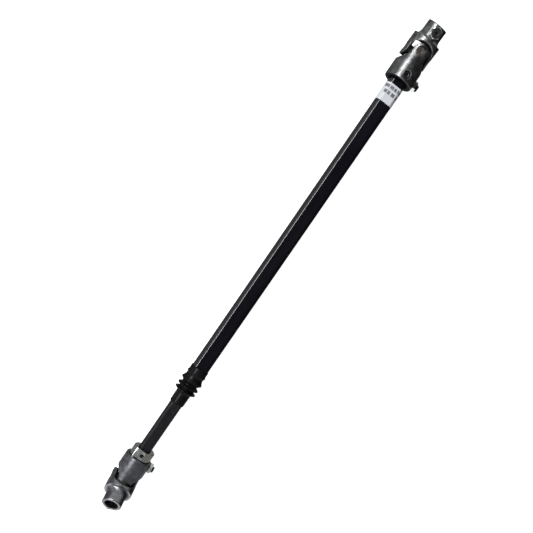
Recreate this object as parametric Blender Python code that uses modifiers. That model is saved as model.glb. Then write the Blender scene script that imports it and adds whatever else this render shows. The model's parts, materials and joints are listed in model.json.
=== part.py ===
"""Telescopic double-D steering shaft with a needle-bearing universal joint at each end.

The shaft lies along X, upper joint at +X, with Z up and the origin under the middle of its box.
Every piece is modelled in the frame of one joint: local Z runs from the joint's centre along the
yoke's hub, and local X is the yoke's ear axis, which is also the normal of the double-D flats.
"""
from math import acos, cos, pi, radians, sin, sqrt

import bmesh
import bpy
from mathutils import Matrix, Vector

MM = 0.001

# Whole shaft
JOINT_SPACING = 722.1 * MM          # centre to centre of the two joints at rest
SECTION_TURN = radians(9.0)         # turn of the double-D flats about the shaft's axis
UPPER_TILT = radians(17.0)          # bend of the upper joint at rest
LOWER_TILT = radians(53.0)          # bend of the lower joint at rest
GAP = 0.3 * MM                      # clearance between neighbouring pieces

# Yokes
YOKE_RADIUS = 20.65 * MM
YOKE_LENGTH = 42.5 * MM             # joint centre to the open face of a tube or shaft yoke
END_YOKE_LENGTH = 43.8 * MM         # joint centre to the open face of an end yoke
HUB_RADIUS = 14.5 * MM
HUB_STEP_RADIUS = 18.0 * MM
HUB_STEP = 22.6 * MM                # square step between the fork and the hub
HUB_FILLET_END = 31.2 * MM
EDGE_CHAMFER = 0.8 * MM
EAR_HALF_WIDTH = 10.9 * MM
EAR_FLARE_START = 7.0 * MM
EAR_FLARE_END = 19.2 * MM
EAR_FLARE_POWER = 1.35
SLOT_HALF_WIDTH = 14.0 * MM
SLOT_BOTTOM = 17.0 * MM
SLOT_CORNER = 10.0 * MM
POCKET_RADIUS = 24.2 * MM           # ball swept by the mating yoke's ears
SPLINE_TEETH = 36
SPLINE_TIP_RADIUS = 9.9 * MM
SPLINE_ROOT_RADIUS = 10.5 * MM
SPLINE_LEAD_IN = 0.5 * MM
NUT_SEAT_RADIUS = 8.9 * MM          # flat spot that a jam nut sits on
NUT_SEAT_DEPTH = 0.65 * MM

# Bearings and crosses
CUP_RADIUS = 6.5 * MM
CUP_BORE_RADIUS = 5.7 * MM
CUP_FACE = 18.9 * MM                # joint centre to the cup's closed face
CUP_MOUTH = 10.4 * MM
CUP_FLOOR = 1.7 * MM
TRUNNION_RADIUS = 4.0 * MM
CROSS_BOSS_RADIUS = 6.2 * MM
CROSS_BOSS_REACH = 8.7 * MM
SEAL_THICKNESS = 1.1 * MM
NEEDLES = 16

# Double-D sections: radius and distance from the axis to each flat
TUBE_SECTION = (12.7 * MM, 10.15 * MM)
SHAFT_SECTION = (9.525 * MM, 7.1 * MM)
BAR_SEAT = 24.6 * MM                # joint centre to the end of the tube or bar in its yoke
TUBE_END = 534.0 * MM               # upper joint centre to the tube's open end
SHAFT_REACH = 371.0 * MM            # lower joint centre to the bar's inner end
MOUTH_RADIUS = 14.2 * MM
MOUTH_DEPTH = 4.0 * MM
MOUTH_CHAMFER = 0.5 * MM

# Adapter collar
COLLAR_RADIUS = 16.5 * MM
COLLAR_FLAT = 13.9 * MM
COLLAR_FLAT_TURN = radians(-15.0)   # from the double-D flats
COLLAR_PROUD = 14.8 * MM
COLLAR_SEATED = 8.5 * MM
COLLAR_SCREW_RADIUS = 2.6 * MM
COLLAR_SCREW_HEIGHT = 7.2 * MM      # above the yoke's face
COLLAR_SCREW_SUNK = 1.6 * MM        # below the collar's flat

# Label and boot, measured from the upper joint's centre
LABEL_START = 50.5 * MM
LABEL_LENGTH = 26.6 * MM
LABEL_THICKNESS = 0.3 * MM
BOOT_START = 520.5 * MM
BOOT_LENGTH = 62.0 * MM
BOOT_CUFF_RADIUS = 13.8 * MM
BOOT_WIPER_RADIUS = 11.1 * MM
BOOT_RIDGE_RADIUS = 14.7 * MM
BOOT_PEAK_RADIUS = 16.5 * MM
BOOT_VALLEY_RADIUS = 11.7 * MM
BOOT_WALL = 1.15 * MM
BOOT_RIDGE = 9.9 * MM               # from the boot's start, like the stations below
BOOT_CUFF_END = 17.2 * MM
BOOT_PEAKS = (22.0 * MM, 31.7 * MM, 38.9 * MM)
BOOT_VALLEYS = (27.4 * MM, 35.4 * MM)
BOOT_WIPER = 42.6 * MM

# Set screws and jam nuts
SCREW_RADIUS = 4.76 * MM
SCREW_CHAMFER = 0.5 * MM
SOCKET_ACROSS_FLATS = 4.76 * MM
SOCKET_DEPTH = 3.6 * MM
NUT_ACROSS_FLATS = 14.3 * MM
NUT_THICKNESS = 4.8 * MM
SCREW_PROUD = 3.0 * MM              # beyond its nut
RECESS = 2.4 * MM                   # the front screw's socket face below the yoke's surface
FRONT_SCREW_ANGLE = radians(-6.0)
FRONT_SCREW_TIP = 11.4 * MM         # clear of the tube's flat, which the screw meets at a slant
UPPER_END_SCREW_ANGLE = radians(-85.0)
TUBE_SCREW_INSET = 9.0 * MM         # screw's centre to the yoke's open face
SHAFT_SCREW_INSET = 7.0 * MM
UPPER_END_SCREW_INSET = 10.0 * MM
LOWER_END_SCREW_INSET = 8.5 * MM

# Facets round a full turn
BODY_STEPS = 32
BORE_STEPS = 24
SMALL_STEPS = 16

BODY = bpy.data.collections.new("universal_joint_shaft")
CUTTERS = bpy.data.collections.new("cutters")


# ---------------------------------------------------------------- scene and materials

def clear_scene():
    """Remove every object and link the two collections."""
    for obj in list(bpy.data.objects):
        bpy.data.objects.remove(obj, do_unlink=True)
    bpy.context.scene.collection.children.link(BODY)
    bpy.context.scene.collection.children.link(CUTTERS)


def principled(colour, roughness, metallic):
    """Return a function that makes one named material with these values."""
    def make(name):
        material = bpy.data.materials.new(name)
        material.use_nodes = True
        shader = material.node_tree.nodes["Principled BSDF"]
        shader.inputs["Base Color"].default_value = (*colour, 1.0)
        shader.inputs["Roughness"].default_value = roughness
        shader.inputs["Metallic"].default_value = metallic
        return material
    return make


YOKE_STEEL = principled((0.14, 0.145, 0.155), 0.38, 0.9)
BEARING_STEEL = principled((0.19, 0.17, 0.16), 0.35, 0.9)
BLACK_PAINT = principled((0.012, 0.012, 0.016), 0.35, 0.0)
DARK_STEEL = principled((0.03, 0.03, 0.035), 0.35, 0.8)
BLACK_RUBBER = principled((0.008, 0.008, 0.009), 0.6, 0.0)
ZINC = principled((0.72, 0.74, 0.7), 0.25, 1.0)
BLACK_OXIDE = principled((0.015, 0.015, 0.017), 0.4, 0.8)
WHITE_VINYL = principled((0.78, 0.79, 0.82), 0.45, 0.0)
BRIGHT_STEEL = principled((0.5, 0.5, 0.5), 0.25, 1.0)


# ---------------------------------------------------------------- building blocks

def show(obj, frame, make_material):
    """Add a finished sub-part to the object's collection under its frame."""
    BODY.objects.link(obj)
    obj.parent = frame
    obj.data.materials.append(make_material(obj.name + "_finish"))
    return obj


def turned(name, profile, steps, ring=False):
    """Turn (radius, height) points about Z; they run down the outer side first."""
    points = [(radius, 0.0, height) for radius, height in profile]
    edges = [(i, i + 1) for i in range(len(points) - 1)]
    if ring:
        edges.append((len(points) - 1, 0))
    mesh = bpy.data.meshes.new(name)
    mesh.from_pydata(points, edges, [])
    obj = bpy.data.objects.new(name, mesh)
    screw = obj.modifiers.new("turn", "SCREW")
    screw.steps = steps
    screw.render_steps = steps
    screw.use_merge_vertices = True
    screw.merge_threshold = 0.00001
    screw.use_smooth_shade = False
    return obj


def fixed(obj, matrix=Matrix.Identity(4)):
    """Replace an object by its evaluated mesh, moved by a matrix, with no modifiers left."""
    CUTTERS.objects.link(obj)
    bpy.context.view_layer.update()
    evaluated = obj.evaluated_get(bpy.context.evaluated_depsgraph_get())
    mesh = bpy.data.meshes.new_from_object(evaluated)
    mesh.transform(obj.matrix_world)
    name = obj.name
    bpy.data.objects.remove(obj)
    scratch = bmesh.new()
    scratch.from_mesh(mesh)
    bmesh.ops.remove_doubles(scratch, verts=scratch.verts, dist=0.000001)
    scratch.to_mesh(mesh)
    scratch.free()
    mesh.transform(matrix)
    mesh.name = name
    return bpy.data.objects.new(name, mesh)


def prism(name, outlines, low, high, matrix=Matrix.Identity(4)):
    """Extrude flat outlines, the second one a hole, from low to high along Z."""
    curve = bpy.data.curves.new(name, "CURVE")
    curve.dimensions = "2D"
    curve.fill_mode = "BOTH"
    curve.extrude = (high - low) / 2
    for outline in outlines:
        spline = curve.splines.new("POLY")
        spline.points.add(len(outline) - 1)
        for point, (x, y) in zip(spline.points, outline):
            point.co = (x, y, 0.0, 1.0)
        spline.use_cyclic_u = True
    middle = Matrix.Translation((0.0, 0.0, (low + high) / 2))
    return fixed(bpy.data.objects.new(name, curve), matrix @ middle)


def cylinder(name, radius, low, high, steps, matrix=Matrix.Identity(4), high_radius=None):
    """A cylinder, or a cone, along Z from low to high."""
    mesh = bpy.data.meshes.new(name)
    scratch = bmesh.new()
    bmesh.ops.create_cone(scratch, cap_ends=True, segments=steps, radius1=radius,
                          radius2=radius if high_radius is None else high_radius,
                          depth=high - low,
                          matrix=matrix @ Matrix.Translation((0.0, 0.0, (low + high) / 2)))
    scratch.to_mesh(mesh)
    scratch.free()
    return bpy.data.objects.new(name, mesh)


def combine(target, tool, operation="DIFFERENCE"):
    """Cut, trim or join a sub-part with a tool, which moves with it."""
    CUTTERS.objects.link(tool)
    tool.parent = target
    tool.hide_render = True
    tool.display_type = "WIRE"
    boolean = target.modifiers.new(tool.name, "BOOLEAN")
    boolean.object = tool
    boolean.operation = operation
    boolean.solver = "EXACT"


def smooth(obj):
    """Shade a piece's own faces smooth, with sharp edges kept."""
    obj.data.shade_smooth()
    obj.data.set_sharp_from_angle(angle=radians(35))


# ---------------------------------------------------------------- outlines and directions

# Stands an outline up in YZ, with its thickness along X
ACROSS = Matrix(((0, 0, 1, 0), (1, 0, 0, 0), (0, 1, 0, 0), (0, 0, 0, 1)))
# Stands an outline up in XZ, with its thickness along Y
SIDEWAYS = Matrix(((1, 0, 0, 0), (0, 0, -1, 0), (0, 1, 0, 0), (0, 0, 0, 1)))


def radial(angle, height):
    """A frame whose Z axis points straight out of the local Z axis at this angle and height."""
    turn = Matrix.Rotation(angle, 4, "Z") @ Matrix.Rotation(pi / 2, 4, "Y")
    return Matrix.Translation((0.0, 0.0, height)) @ turn


def arc(centre, radii, start, end, count):
    """Points on an elliptical arc, both ends included."""
    angles = [start + (end - start) * i / count for i in range(count + 1)]
    return [(centre[0] + radii[0] * cos(a), centre[1] + radii[1] * sin(a)) for a in angles]


def double_d(section, growth=0.0, count=8):
    """The outline of a round bar with two flats across X, grown outward all round."""
    radius = section[0] + growth
    flat = section[1] + growth
    edge = acos(flat / radius)
    side = arc((0.0, 0.0), (radius, radius), edge, pi - edge, count)
    return side + [(-x, -y) for x, y in side]


def circle(radius, steps):
    """A round outline."""
    return arc((0.0, 0.0), (radius, radius), 0.0, 2 * pi * (steps - 1) / steps, steps - 1)


def ear_outline():
    """Side view of the fork in (Y, Z): round tips that flare out to the full body."""
    tip = arc((0.0, 0.0), (EAR_HALF_WIDTH, EAR_HALF_WIDTH), -pi, 0.0, 12)
    full = YOKE_RADIUS + GAP
    rise = EAR_FLARE_END - EAR_FLARE_START
    flare = []
    for i in range(7):
        share = i / 6
        width = EAR_HALF_WIDTH + (full - EAR_HALF_WIDTH) * share ** EAR_FLARE_POWER
        flare.append((width, EAR_FLARE_START + rise * share))
    top = END_YOKE_LENGTH + 2 * MM
    wide = full + MM
    right = flare + [(wide, EAR_FLARE_END), (wide, top)]
    left = [(-x, y) for x, y in reversed(right)]
    return tip[1:-1] + right + left


def slot_outline():
    """Front view of the gap between the ears in (X, Z): square mouth and round bottom corners."""
    low = -EAR_HALF_WIDTH - 2 * MM
    inner = SLOT_HALF_WIDTH - SLOT_CORNER
    centre = SLOT_BOTTOM - SLOT_CORNER
    corner = arc((inner, centre), (SLOT_CORNER, SLOT_CORNER), 0.0, pi / 2, 6)
    mirrored = [(-x, y) for x, y in reversed(corner)]
    return [(SLOT_HALF_WIDTH, low)] + corner + mirrored + [(-SLOT_HALF_WIDTH, low)]


def spline_outline():
    """Serrated bore: alternate root and tip points."""
    points = []
    for i in range(2 * SPLINE_TEETH):
        radius = SPLINE_ROOT_RADIUS if i % 2 else SPLINE_TIP_RADIUS
        angle = pi * i / SPLINE_TEETH
        points.append((radius * cos(angle), radius * sin(angle)))
    return points


# ---------------------------------------------------------------- yokes

def end_yoke_profile():
    """Turned blank of a yoke with a narrow splined hub."""
    fillet = arc((HUB_STEP_RADIUS, HUB_FILLET_END),
                 (HUB_STEP_RADIUS - HUB_RADIUS, HUB_FILLET_END - HUB_STEP), pi, 1.5 * pi, 5)
    return [(0.0, END_YOKE_LENGTH),
            (HUB_RADIUS - EDGE_CHAMFER, END_YOKE_LENGTH),
            (HUB_RADIUS, END_YOKE_LENGTH - EDGE_CHAMFER),
            *fillet,
            (YOKE_RADIUS, HUB_STEP),
            (YOKE_RADIUS, -EAR_HALF_WIDTH - MM),
            (0.0, -EAR_HALF_WIDTH - MM)]


def full_yoke_profile():
    """Turned blank of a yoke that keeps its full diameter to the open face."""
    return [(0.0, YOKE_LENGTH),
            (YOKE_RADIUS - 1.5 * EDGE_CHAMFER, YOKE_LENGTH),
            (YOKE_RADIUS, YOKE_LENGTH - 1.5 * EDGE_CHAMFER),
            (YOKE_RADIUS, -EAR_HALF_WIDTH - MM),
            (0.0, -EAR_HALF_WIDTH - MM)]


def forked(name, profile):
    """A turned blank with its two ears, the gap between them and their bearing bores."""
    yoke = turned(name, profile, BODY_STEPS)
    outward = radial(0.0, 0.0)
    wide = YOKE_RADIUS + 3 * MM
    combine(yoke, prism(name + "_ears", [ear_outline()], -wide, wide, ACROSS), "INTERSECT")
    combine(yoke, prism(name + "_slot", [slot_outline()], -wide, wide, SIDEWAYS))
    half = SLOT_HALF_WIDTH - 0.01 * MM
    stations = [half * (1 - i / 3) for i in range(7)]
    barrel = [(sqrt(POCKET_RADIUS ** 2 - x ** 2), x) for x in stations]
    pocket = turned(name + "_pocket", [(0.0, half), *barrel, (0.0, -half)], BODY_STEPS)
    combine(yoke, fixed(pocket, outward))
    combine(yoke, cylinder(name + "_ear_bores", CUP_RADIUS + GAP, -wide, wide, BORE_STEPS, outward))
    return yoke


def drill_for_screw(yoke, label, angle, height, inner, seat=None):
    """A radial clearance hole, with a flat seat for a nut where one is given."""
    outward = radial(angle, height)
    outside = 2 * YOKE_RADIUS
    combine(yoke, cylinder(label + "_hole", SCREW_RADIUS + GAP, inner, outside, SMALL_STEPS, outward))
    if seat is not None:
        combine(yoke, cylinder(label + "_seat", NUT_SEAT_RADIUS, seat, outside, SMALL_STEPS, outward))


def set_screw(name, frame, angle, height, inner, outer):
    """A socket set screw that points straight out of the hub."""
    body = turned(name, [(0.0, outer),
                         (SCREW_RADIUS - SCREW_CHAMFER, outer),
                         (SCREW_RADIUS, outer - SCREW_CHAMFER),
                         (SCREW_RADIUS, inner + SCREW_CHAMFER),
                         (SCREW_RADIUS - SCREW_CHAMFER, inner),
                         (0.0, inner)], SMALL_STEPS)
    screw = fixed(body, radial(angle, height))
    show(screw, frame, BLACK_OXIDE)
    smooth(screw)
    corner = SOCKET_ACROSS_FLATS / sqrt(3)
    combine(screw, cylinder(name + "_socket", corner, outer - SOCKET_DEPTH, outer + MM, 6,
                            radial(angle, height)))


def jam_nut(name, frame, angle, height, inner):
    """A thin hexagon nut on a set screw, one corner towards the joint."""
    corner = NUT_ACROSS_FLATS / sqrt(3)
    hole = circle(SCREW_RADIUS + GAP, SMALL_STEPS)
    nut = prism(name, [circle(corner, 6), hole], inner, inner + NUT_THICKNESS, radial(angle, height))
    show(nut, frame, ZINC)


def bearings(prefix, frame):
    """Cup, needle rollers and seal in each ear, one set out along +X and one along -X."""
    cup = [(0.0, CUP_FACE),
           (CUP_RADIUS - 0.4 * MM, CUP_FACE),
           (CUP_RADIUS, CUP_FACE - 0.4 * MM),
           (CUP_RADIUS, CUP_MOUTH),
           (CUP_BORE_RADIUS, CUP_MOUTH),
           (CUP_BORE_RADIUS, CUP_FACE - CUP_FLOOR),
           (0.0, CUP_FACE - CUP_FLOOR)]
    needle_top = CUP_FACE - CUP_FLOOR - GAP
    needle_low = CUP_MOUTH + 2 * GAP
    inner = TRUNNION_RADIUS + GAP
    needles = [(CUP_BORE_RADIUS - GAP, needle_top), (CUP_BORE_RADIUS - GAP, needle_low),
               (inner, needle_low), (inner, needle_top)]
    seal_top = CUP_MOUTH - GAP
    seal_low = seal_top - SEAL_THICKNESS
    seal = [(CROSS_BOSS_RADIUS, seal_top), (CROSS_BOSS_RADIUS, seal_low),
            (inner, seal_low), (inner, seal_top)]
    for side, angle in (("a", 0.0), ("b", pi)):
        outward = radial(angle, 0.0)
        piece = fixed(turned(f"{prefix}_bearing_cup_{side}", cup, SMALL_STEPS), outward)
        smooth(show(piece, frame, BEARING_STEEL))
        piece = fixed(turned(f"{prefix}_needle_rollers_{side}", needles, NEEDLES, ring=True), outward)
        show(piece, frame, BRIGHT_STEEL)
        piece = fixed(turned(f"{prefix}_cup_seal_{side}", seal, NEEDLES, ring=True), outward)
        smooth(show(piece, frame, BLACK_RUBBER))


def end_yoke(prefix, frame, screw_angle, screw_height):
    """Splined end yoke with its bearings, clamping set screw and jam nut."""
    name = prefix + "_end_yoke"
    yoke = forked(name, end_yoke_profile())
    inner = SLOT_BOTTOM - 4 * MM
    combine(yoke, prism(name + "_splines", [spline_outline()], inner, END_YOKE_LENGTH + MM))
    root = SPLINE_ROOT_RADIUS + SPLINE_LEAD_IN
    combine(yoke, cylinder(name + "_lead_in", root - 2 * MM, END_YOKE_LENGTH - 2 * MM,
                           END_YOKE_LENGTH + MM, BODY_STEPS, high_radius=root + MM))
    seat = HUB_RADIUS - NUT_SEAT_DEPTH
    drill_for_screw(yoke, name, screw_angle, screw_height, SPLINE_TIP_RADIUS / 2, seat)
    smooth(show(yoke, frame, YOKE_STEEL))
    bearings(name, frame)
    nut_seat = seat + GAP
    set_screw(name + "_set_screw", frame, screw_angle, screw_height, SPLINE_ROOT_RADIUS,
              nut_seat + NUT_THICKNESS + SCREW_PROUD)
    jam_nut(name + "_jam_nut", frame, screw_angle, screw_height, nut_seat)


def tube_yoke(frame):
    """Yoke on the outer tube: double-D socket, one recessed set screw and one with a nut."""
    name = "upper_tube_yoke"
    yoke = forked(name, full_yoke_profile())
    section = [double_d(TUBE_SECTION, GAP)]
    combine(yoke, prism(name + "_socket", section, SLOT_BOTTOM - 4 * MM, YOKE_LENGTH))
    low = YOKE_LENGTH - MOUTH_DEPTH
    combine(yoke, cylinder(name + "_mouth", MOUTH_RADIUS, low, YOKE_LENGTH + MM, BODY_STEPS))
    combine(yoke, cylinder(name + "_mouth_chamfer", MOUTH_RADIUS - MOUTH_CHAMFER,
                           YOKE_LENGTH - 2 * MOUTH_CHAMFER, YOKE_LENGTH + MOUTH_CHAMFER,
                           BODY_STEPS, high_radius=MOUTH_RADIUS + 2 * MOUTH_CHAMFER))
    height = YOKE_LENGTH - TUBE_SCREW_INSET
    seat = YOKE_RADIUS - NUT_SEAT_DEPTH
    drill_for_screw(yoke, name + "_front", FRONT_SCREW_ANGLE, height, TUBE_SECTION[1] - MM)
    drill_for_screw(yoke, name + "_side", -pi / 2, height, TUBE_SECTION[1] - MM, seat)
    smooth(show(yoke, frame, YOKE_STEEL))
    bearings(name, frame)
    set_screw(name + "_front_set_screw", frame, FRONT_SCREW_ANGLE, height, FRONT_SCREW_TIP,
              YOKE_RADIUS - RECESS)
    nut_seat = seat + GAP
    set_screw(name + "_side_set_screw", frame, -pi / 2, height, TUBE_SECTION[0] + GAP,
              nut_seat + NUT_THICKNESS + SCREW_PROUD)
    jam_nut(name + "_jam_nut", frame, -pi / 2, height, nut_seat)


def shaft_yoke(frame):
    """Yoke on the inner shaft: double-D socket under a counterbore that holds the collar."""
    name = "lower_shaft_yoke"
    yoke = forked(name, full_yoke_profile())
    section = [double_d(SHAFT_SECTION, GAP)]
    combine(yoke, prism(name + "_socket", section, SLOT_BOTTOM - 4 * MM, YOKE_LENGTH))
    floor = YOKE_LENGTH - COLLAR_SEATED - GAP
    combine(yoke, cylinder(name + "_counterbore", COLLAR_RADIUS + GAP, floor, YOKE_LENGTH + MM, BODY_STEPS))
    height = YOKE_LENGTH - SHAFT_SCREW_INSET
    seat = YOKE_RADIUS - NUT_SEAT_DEPTH
    drill_for_screw(yoke, name, pi / 2, height, COLLAR_RADIUS - MM, seat)
    smooth(show(yoke, frame, YOKE_STEEL))
    bearings(name, frame)
    nut_seat = seat + GAP
    set_screw(name + "_set_screw", frame, pi / 2, height, COLLAR_RADIUS + GAP,
              nut_seat + NUT_THICKNESS + SCREW_PROUD)
    jam_nut(name + "_jam_nut", frame, pi / 2, height, nut_seat)


# ---------------------------------------------------------------- crosses

def cross(prefix, frame):
    """Spider: four trunnions on two spindles that cross at the joint's centre."""
    reach = CUP_FACE - CUP_FLOOR - GAP
    half = [(0.0, reach),
            (TRUNNION_RADIUS - 0.5 * MM, reach),
            (TRUNNION_RADIUS, reach - 0.5 * MM),
            (TRUNNION_RADIUS, CROSS_BOSS_REACH),
            (CROSS_BOSS_RADIUS, CROSS_BOSS_REACH)]
    profile = half + [(radius, -height) for radius, height in reversed(half)]
    name = prefix + "_cross"
    spindle = fixed(turned(name, profile, SMALL_STEPS), radial(0.0, 0.0))
    show(spindle, frame, BEARING_STEEL)
    smooth(spindle)
    half_facet = Matrix.Rotation(pi / SMALL_STEPS, 4, "Z")
    crosswise = radial(pi / 2, 0.0) @ half_facet
    other = fixed(turned(name + "_other_spindle", profile, SMALL_STEPS), crosswise)
    combine(spindle, other, "UNION")


# ---------------------------------------------------------------- tube, bar, label, boot, collar

def outer_tube(frame):
    """Double-D tube that the bar slides in."""
    outlines = [double_d(TUBE_SECTION), double_d(SHAFT_SECTION, GAP)]
    tube = prism("outer_tube", outlines, BAR_SEAT, TUBE_END)
    smooth(show(tube, frame, BLACK_PAINT))


def inner_shaft(frame):
    """Solid double-D bar."""
    bar = prism("inner_shaft", [double_d(SHAFT_SECTION)], BAR_SEAT, SHAFT_REACH)
    smooth(show(bar, frame, DARK_STEEL))


def label_band(frame):
    """Blank adhesive band round the tube."""
    outlines = [double_d(TUBE_SECTION, GAP + LABEL_THICKNESS), double_d(TUBE_SECTION, GAP)]
    band = prism("tube_label", outlines, LABEL_START, LABEL_START + LABEL_LENGTH)
    smooth(show(band, frame, WHITE_VINYL))


def boot(frame):
    """Rubber boot: a cuff on the tube, three bellows and a wiper sleeve on the bar."""
    outer = [(0.0, BOOT_CUFF_RADIUS - 0.4 * MM),
             (0.6 * MM, BOOT_CUFF_RADIUS),
             (BOOT_RIDGE - 2 * MM, BOOT_CUFF_RADIUS),
             (BOOT_RIDGE, BOOT_RIDGE_RADIUS),
             (BOOT_RIDGE + 2 * MM, BOOT_CUFF_RADIUS),
             (BOOT_CUFF_END, BOOT_CUFF_RADIUS)]
    cuff_bore = TUBE_SECTION[0] + GAP
    wiper_bore = SHAFT_SECTION[0] + GAP
    inner = [(0.0, cuff_bore), (BOOT_CUFF_END, cuff_bore)]
    for peak, valley in zip(BOOT_PEAKS, BOOT_VALLEYS):
        outer += [(peak, BOOT_PEAK_RADIUS), (valley, BOOT_VALLEY_RADIUS)]
        inner += [(peak, BOOT_PEAK_RADIUS - BOOT_WALL), (valley, BOOT_VALLEY_RADIUS - BOOT_WALL)]
    outer += [(BOOT_PEAKS[-1], BOOT_PEAK_RADIUS),
              (BOOT_WIPER, BOOT_WIPER_RADIUS),
              (BOOT_LENGTH - 1.2 * MM, BOOT_WIPER_RADIUS),
              (BOOT_LENGTH, BOOT_WIPER_RADIUS - 0.5 * MM)]
    inner += [(BOOT_PEAKS[-1], BOOT_PEAK_RADIUS - BOOT_WALL),
              (BOOT_WIPER - 0.4 * MM, wiper_bore),
              (BOOT_LENGTH, wiper_bore)]
    profile = [(radius, BOOT_START + along) for along, radius in reversed(outer)]
    profile += [(radius, BOOT_START + along) for along, radius in inner]
    piece = fixed(turned("sliding_joint_boot", profile, BORE_STEPS, ring=True))
    smooth(show(piece, frame, BLACK_RUBBER))


def adapter_collar(frame):
    """Zinc-plated bushing with two milled flats, seated in the lower shaft yoke."""
    low = YOKE_LENGTH - COLLAR_SEATED
    high = YOKE_LENGTH + COLLAR_PROUD
    name = "adapter_collar"
    blank = turned(name, [(0.0, high),
                          (COLLAR_RADIUS - EDGE_CHAMFER, high),
                          (COLLAR_RADIUS, high - EDGE_CHAMFER),
                          (COLLAR_RADIUS, low),
                          (0.0, low)], BODY_STEPS)
    show(blank, frame, ZINC)
    section = [double_d((COLLAR_RADIUS + MM, COLLAR_FLAT))]
    turn = Matrix.Rotation(COLLAR_FLAT_TURN, 4, "Z")
    combine(blank, prism(name + "_flats", section, low - MM, high + MM, turn), "INTERSECT")
    combine(blank, prism(name + "_bore", [double_d(SHAFT_SECTION, GAP)], low - MM, high + MM))
    outward = radial(0.0, YOKE_LENGTH + COLLAR_SCREW_HEIGHT)
    combine(blank, cylinder(name + "_screw_hole", COLLAR_SCREW_RADIUS + GAP, SHAFT_SECTION[1] / 2,
                            COLLAR_RADIUS + MM, SMALL_STEPS, outward))
    smooth(blank)
    screw = cylinder(name + "_screw", COLLAR_SCREW_RADIUS, SHAFT_SECTION[1] + GAP,
                     COLLAR_FLAT - COLLAR_SCREW_SUNK, SMALL_STEPS, outward)
    smooth(show(screw, frame, BLACK_OXIDE))


# ---------------------------------------------------------------- assembly

def frame_at(name, parent, centre, ear_axis, hub_axis):
    """An empty at a joint's centre, X along the ears and Z along the hub."""
    side = hub_axis.cross(ear_axis)
    axes = Matrix((ear_axis, side, hub_axis)).transposed().to_4x4()
    empty = bpy.data.objects.new(name, None)
    BODY.objects.link(empty)
    empty.parent = parent
    empty.matrix_local = Matrix.Translation(centre) @ axes
    return empty


def rest_on_floor(root):
    """Move the whole shaft so that the origin is under the middle of its box."""
    bpy.context.view_layer.update()
    graph = bpy.context.evaluated_depsgraph_get()
    points = []
    for obj in BODY.objects:
        if obj.type == "MESH":
            evaluated = obj.evaluated_get(graph)
            points += [evaluated.matrix_world @ vertex.co for vertex in evaluated.data.vertices]
    low = [min(point[i] for point in points) for i in range(3)]
    high = [max(point[i] for point in points) for i in range(3)]
    root.location = (-(low[0] + high[0]) / 2, -(low[1] + high[1]) / 2, -low[2])


def build():
    """Make every piece in the frame of its own joint."""
    clear_scene()
    root = bpy.data.objects.new("shaft_frame", None)
    BODY.objects.link(root)
    along = Vector((1.0, 0.0, 0.0))
    front = Vector((0.0, -sin(SECTION_TURN), cos(SECTION_TURN)))
    right = Vector((0.0, -cos(SECTION_TURN), -sin(SECTION_TURN)))
    upper_centre = along * JOINT_SPACING / 2
    lower_centre = -upper_centre

    tube_frame = frame_at("tube_frame", root, upper_centre, front, -along)
    tube_yoke(tube_frame)
    outer_tube(tube_frame)
    label_band(tube_frame)
    boot(tube_frame)

    shaft_frame = frame_at("bar_frame", root, lower_centre, front, along)
    shaft_yoke(shaft_frame)
    inner_shaft(shaft_frame)
    adapter_collar(shaft_frame)

    upper_hub = along * cos(UPPER_TILT) + front * sin(UPPER_TILT)
    upper_frame = frame_at("upper_end_frame", root, upper_centre, right, upper_hub)
    end_yoke("upper", upper_frame, UPPER_END_SCREW_ANGLE, END_YOKE_LENGTH - UPPER_END_SCREW_INSET)
    lower_hub = -along * cos(LOWER_TILT) + front * sin(LOWER_TILT)
    lower_frame = frame_at("lower_end_frame", root, lower_centre, right, lower_hub)
    end_yoke("lower", lower_frame, -pi / 2, END_YOKE_LENGTH - LOWER_END_SCREW_INSET)

    cross("upper", tube_frame)
    cross("lower", shaft_frame)
    rest_on_floor(root)


build()
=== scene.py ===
import json
from math import cos, pi, radians, sin, sqrt, tan

import bmesh
import bpy
from mathutils import Matrix, Vector


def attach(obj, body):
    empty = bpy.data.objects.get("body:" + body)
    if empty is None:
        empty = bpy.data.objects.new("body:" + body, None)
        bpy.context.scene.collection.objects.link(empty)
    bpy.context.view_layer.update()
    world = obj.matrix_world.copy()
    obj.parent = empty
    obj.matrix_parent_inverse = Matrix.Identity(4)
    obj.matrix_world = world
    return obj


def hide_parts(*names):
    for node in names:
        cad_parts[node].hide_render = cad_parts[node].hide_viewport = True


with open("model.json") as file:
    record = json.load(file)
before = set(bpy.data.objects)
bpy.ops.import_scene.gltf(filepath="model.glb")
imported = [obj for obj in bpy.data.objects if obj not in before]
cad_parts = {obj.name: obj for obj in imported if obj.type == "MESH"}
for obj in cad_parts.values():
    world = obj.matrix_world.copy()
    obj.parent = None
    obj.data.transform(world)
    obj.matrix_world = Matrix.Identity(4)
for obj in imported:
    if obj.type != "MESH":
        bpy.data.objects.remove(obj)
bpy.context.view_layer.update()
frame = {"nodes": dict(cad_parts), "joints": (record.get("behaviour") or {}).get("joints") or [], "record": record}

MM = 0.001

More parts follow.
